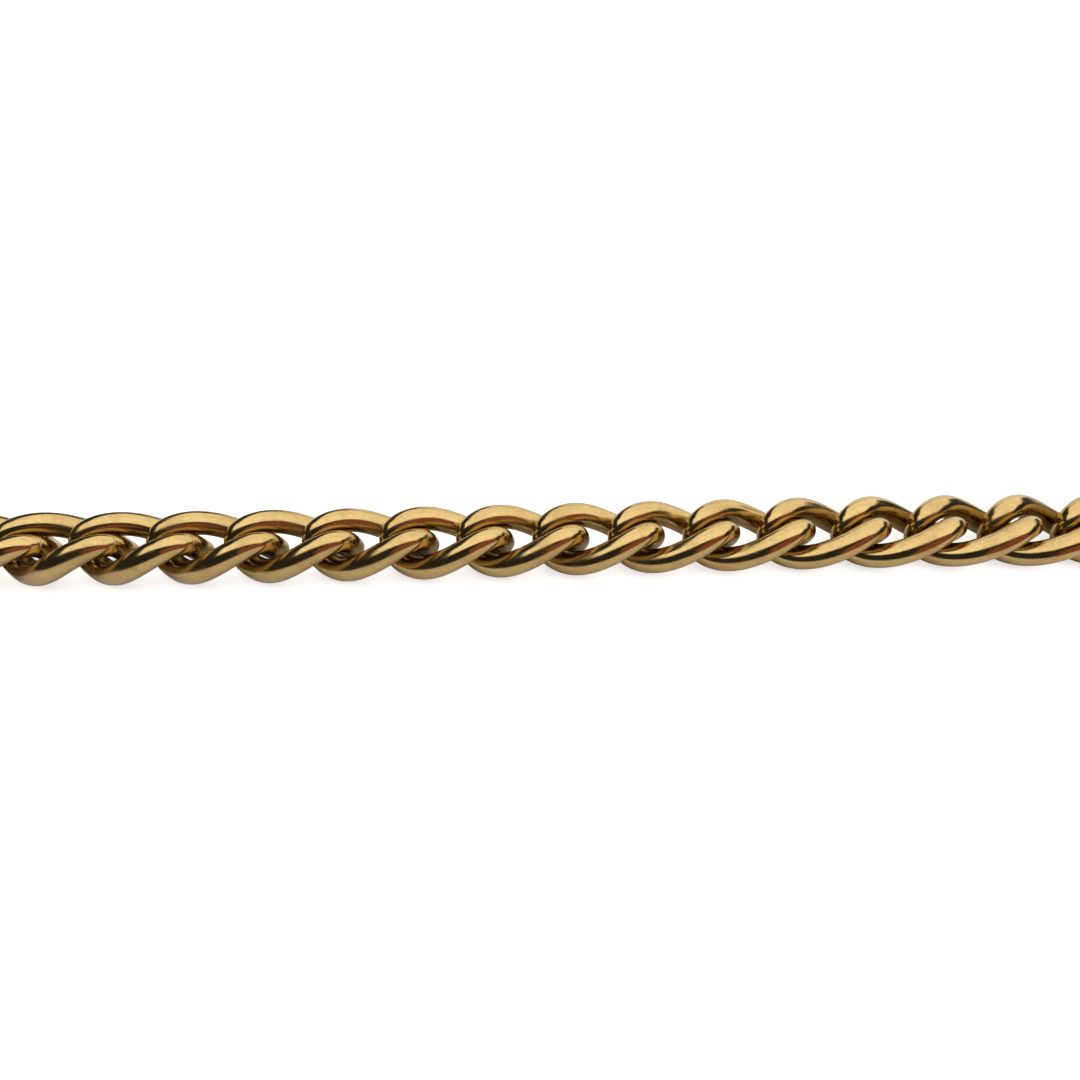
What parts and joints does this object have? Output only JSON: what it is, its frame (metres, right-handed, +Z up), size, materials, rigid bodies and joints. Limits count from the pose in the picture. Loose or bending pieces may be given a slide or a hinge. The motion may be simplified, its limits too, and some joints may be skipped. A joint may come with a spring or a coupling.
{
  "type": "pocket watch chain",
  "caption": "Curb-link watch chain of half-twisted brass-gold links, with a toggle bar for a buttonhole at one end and a sprung swivel clip for a watch at the other",
  "frame": {"origin": "middle of the toggle bar, on the bar's axis", "axes": "+X along the chain from the toggle bar to the clip, +Y across it, +Z up from the table it lies on"},
  "size_m": [0.2093, 0.027, 0.0065],
  "materials": {
    "links": "polished",
    "rings": "polished",
    "fittings": "polished",
    "steel": "satin"
  },
  "bodies": {
    "link_01": {"link_01": "links"},
    "link_02": {"link_02": "links"},
    "link_03": {"link_03": "links"},
    "link_04": {"link_04": "links"},
    "link_05": {"link_05": "links"},
    "link_06": {"link_06": "links"},
    "link_07": {"link_07": "links"},
    "link_08": {"link_08": "links"},
    "link_09": {"link_09": "links"},
    "link_10": {"link_10": "links"},
    "link_11": {"link_11": "links"},
    "link_12": {"link_12": "links"},
    "link_13": {"link_13": "links"},
    "link_14": {"link_14": "links"},
    "link_15": {"link_15": "links"},
    "link_16": {"link_16": "links"},
    "link_17": {"link_17": "links"},
    "link_18": {"link_18": "links"},
    "link_19": {"link_19": "links"},
    "link_20": {"link_20": "links"},
    "link_21": {"link_21": "links"},
    "link_22": {"link_22": "links"},
    "toggle": {"toggle_bar": "fittings", "bar_beads": "fittings", "bar_eye": "fittings"},
    "bar_ring": {"bar_ring": "rings"},
    "clip_ring": {"clip_ring": "rings"},
    "bow": {"swivel_bow": "fittings", "swivel_bush": "fittings"},
    "clip": {"swivel_stem": "steel", "clip_body": "fittings", "gate_rivet": "steel", "gate_spring": "steel"},
    "gate": {"clip_gate": "fittings"}
  },
  "joints": [
    {"name": "fold_11_12", "type": "hinge", "parent": "link_11", "child": "link_12", "pos_m": [0.09468, 0.00069, 0.00115], "axis": [0.0355, -0.9994, 0], "range_deg": [-18, 18]},
    {"name": "fold_12_13", "type": "hinge", "parent": "link_12", "child": "link_13", "pos_m": [0.10223, 0.00096, 0.00115], "axis": [-0.0347, 0.9994, 0], "range_deg": [-18, 18]},
    {"name": "fold_13_14", "type": "hinge", "parent": "link_13", "child": "link_14", "pos_m": [0.10978, 0.00121, 0.00115], "axis": [-0.0325, 0.9995, 0], "range_deg": [-18, 18]},
    {"name": "fold_14_15", "type": "hinge", "parent": "link_14", "child": "link_15", "pos_m": [0.11733, 0.00144, 0.00115], "axis": [0.0289, -0.9996, 0], "range_deg": [-18, 18]},
    {"name": "fold_15_16", "type": "hinge", "parent": "link_15", "child": "link_16", "pos_m": [0.12488, 0.00165, 0.00115], "axis": [0.0241, -0.9997, 0], "range_deg": [-18, 18]},
    {"name": "fold_16_17", "type": "hinge", "parent": "link_16", "child": "link_17", "pos_m": [0.13243, 0.00181, 0.00115], "axis": [-0.0182, 0.9998, 0], "range_deg": [-18, 18]},
    {"name": "fold_17_18", "type": "hinge", "parent": "link_17", "child": "link_18", "pos_m": [0.13998, 0.00192, 0.00115], "axis": [-0.0116, 0.9999, 0], "range_deg": [-18, 18]},
    {"name": "fold_18_19", "type": "hinge", "parent": "link_18", "child": "link_19", "pos_m": [0.14753, 0.00198, 0.00115], "axis": [0.0045, -1, 0], "range_deg": [-18, 18]},
    {"name": "fold_19_20", "type": "hinge", "parent": "link_19", "child": "link_20", "pos_m": [0.15508, 0.00199, 0.00115], "axis": [-0.0028, -1, 0], "range_deg": [-18, 18]},
    {"name": "fold_20_21", "type": "hinge", "parent": "link_20", "child": "link_21", "pos_m": [0.16263, 0.00194, 0.00115], "axis": [0.01, 0.9999, 0], "range_deg": [-18, 18]},
    {"name": "fold_21_22", "type": "hinge", "parent": "link_21", "child": "link_22", "pos_m": [0.17018, 0.00184, 0.00115], "axis": [0.0168, 0.9999, 0], "range_deg": [-18, 18]},
    {"name": "fold_10_11", "type": "hinge", "parent": "link_11", "child": "link_10", "pos_m": [0.08713, 0.00042, 0.00115], "axis": [-0.0347, 0.9994, 0], "range_deg": [-18, 18]},
    {"name": "fold_09_10", "type": "hinge", "parent": "link_10", "child": "link_09", "pos_m": [0.07958, 0.00017, 0.00115], "axis": [0.0325, -0.9995, 0], "range_deg": [-18, 18]},
    {"name": "fold_08_09", "type": "hinge", "parent": "link_09", "child": "link_08", "pos_m": [0.07203, -0.00006, 0.00115], "axis": [0.0289, -0.9996, 0], "range_deg": [-18, 18]},
    {"name": "fold_07_08", "type": "hinge", "parent": "link_08", "child": "link_07", "pos_m": [0.06448, -0.00026, 0.00115], "axis": [-0.0241, 0.9997, 0], "range_deg": [-18, 18]},
    {"name": "fold_06_07", "type": "hinge", "parent": "link_07", "child": "link_06", "pos_m": [0.05693, -0.00042, 0.00115], "axis": [-0.0182, 0.9998, 0], "range_deg": [-18, 18]},
    {"name": "fold_05_06", "type": "hinge", "parent": "link_06", "child": "link_05", "pos_m": [0.04938, -0.00054, 0.00115], "axis": [0.0116, -0.9999, 0], "range_deg": [-18, 18]},
    {"name": "fold_04_05", "type": "hinge", "parent": "link_05", "child": "link_04", "pos_m": [0.04183, -0.0006, 0.00115], "axis": [0.0045, -1, 0], "range_deg": [-18, 18]},
    {"name": "fold_03_04", "type": "hinge", "parent": "link_04", "child": "link_03", "pos_m": [0.03428, -0.00061, 0.00115], "axis": [0.0028, 1, 0], "range_deg": [-18, 18]},
    {"name": "fold_02_03", "type": "hinge", "parent": "link_03", "child": "link_02", "pos_m": [0.02673, -0.00056, 0.00115], "axis": [0.01, 0.9999, 0], "range_deg": [-18, 18]},
    {"name": "fold_01_02", "type": "hinge", "parent": "link_02", "child": "link_01", "pos_m": [0.01918, -0.00046, 0.00115], "axis": [-0.0168, -0.9999, 0], "range_deg": [-18, 18]},
    {"name": "bar_ring_swing", "type": "hinge", "parent": "link_01", "child": "bar_ring", "pos_m": [0.0098, -0.00026, 0.00115], "axis": [0.009, 0.3745, 0.9272], "range_deg": [-45, 45]},
    {"name": "toggle_swing", "type": "hinge", "parent": "bar_ring", "child": "toggle", "pos_m": [0.0049, -0.00014, 0.00115], "axis": [0.0237, 0.8657, -0.5], "range_deg": [-90, 90]},
    {"name": "clip_ring_swing", "type": "hinge", "parent": "link_22", "child": "clip_ring", "pos_m": [0.17955, 0.00164, 0.00115], "axis": [0.009, 0.3745, -0.9272], "range_deg": [-45, 45]},
    {"name": "bow_swing", "type": "hinge", "parent": "clip_ring", "child": "bow", "pos_m": [0.18445, 0.00152, 0.00115], "axis": [0.0237, 0.8657, 0.5], "range_deg": [-80, 80]},
    {"name": "clip_swivel", "type": "hinge", "parent": "bow", "child": "clip", "pos_m": [0.19316, 0.00127, 0.0008], "axis": [0.9948, -0.0278, -0.0976], "continuous": true},
    {"name": "gate_swing", "type": "hinge", "parent": "clip", "child": "gate", "pos_m": [0.19596, -0.00021, 0.00052], "axis": [0.0975, -0.0027, 0.9952], "range_deg": [0, 24], "stiffness_Nm_per_rad": 0.0015, "springref_deg": -22.92}
  ]
}
